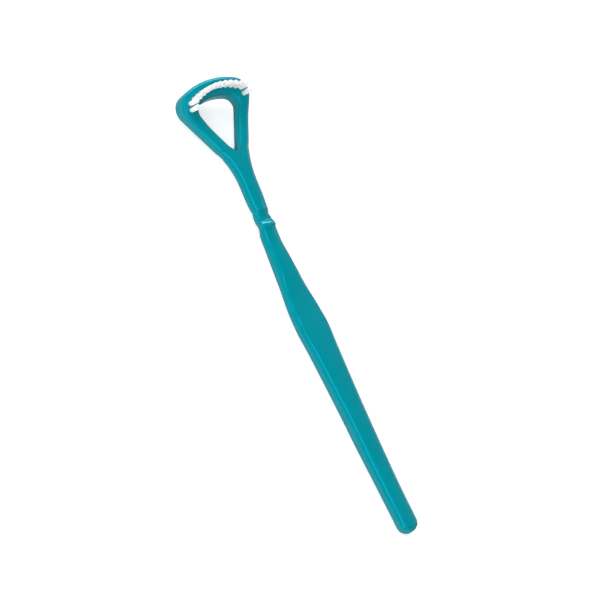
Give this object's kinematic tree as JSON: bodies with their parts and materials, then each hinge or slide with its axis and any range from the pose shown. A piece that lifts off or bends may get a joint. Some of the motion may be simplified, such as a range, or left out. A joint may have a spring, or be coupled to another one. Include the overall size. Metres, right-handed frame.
{
  "type": "tongue scraper",
  "caption": "Moulded tongue scraper with an open delta head, a bow of bristle tufts across its front, a notched flex waist and a long flat-backed handle.",
  "frame": {"origin": "middle of the scraper's length and width, on the plane of the flat back of the grip", "axes": "+X along the handle towards the head, +Y towards the left side of the head seen from the bristle side, +Z out of the bristle side"},
  "size_m": [0.19, 0.032, 0.0164],
  "materials": {
    "teal_plastic": "smooth injection moulded polypropylene",
    "white_nylon": "bundled nylon filaments",
    "anchor_brass": "sheared plate"
  },
  "bodies": {
    "root": {"handle_frame": "teal_plastic", "anchor_plates": "anchor_brass", "left_end_tuft": "white_nylon", "right_end_tuft": "white_nylon", "row_tuft_01": "white_nylon", "row_tuft_02": "white_nylon", "row_tuft_03": "white_nylon", "row_tuft_04": "white_nylon", "row_tuft_05": "white_nylon", "row_tuft_06": "white_nylon", "row_tuft_07": "white_nylon", "row_tuft_08": "white_nylon", "row_tuft_09": "white_nylon", "row_tuft_10": "white_nylon", "row_tuft_11": "white_nylon", "row_tuft_12": "white_nylon"}
  },
  "joints": []
}
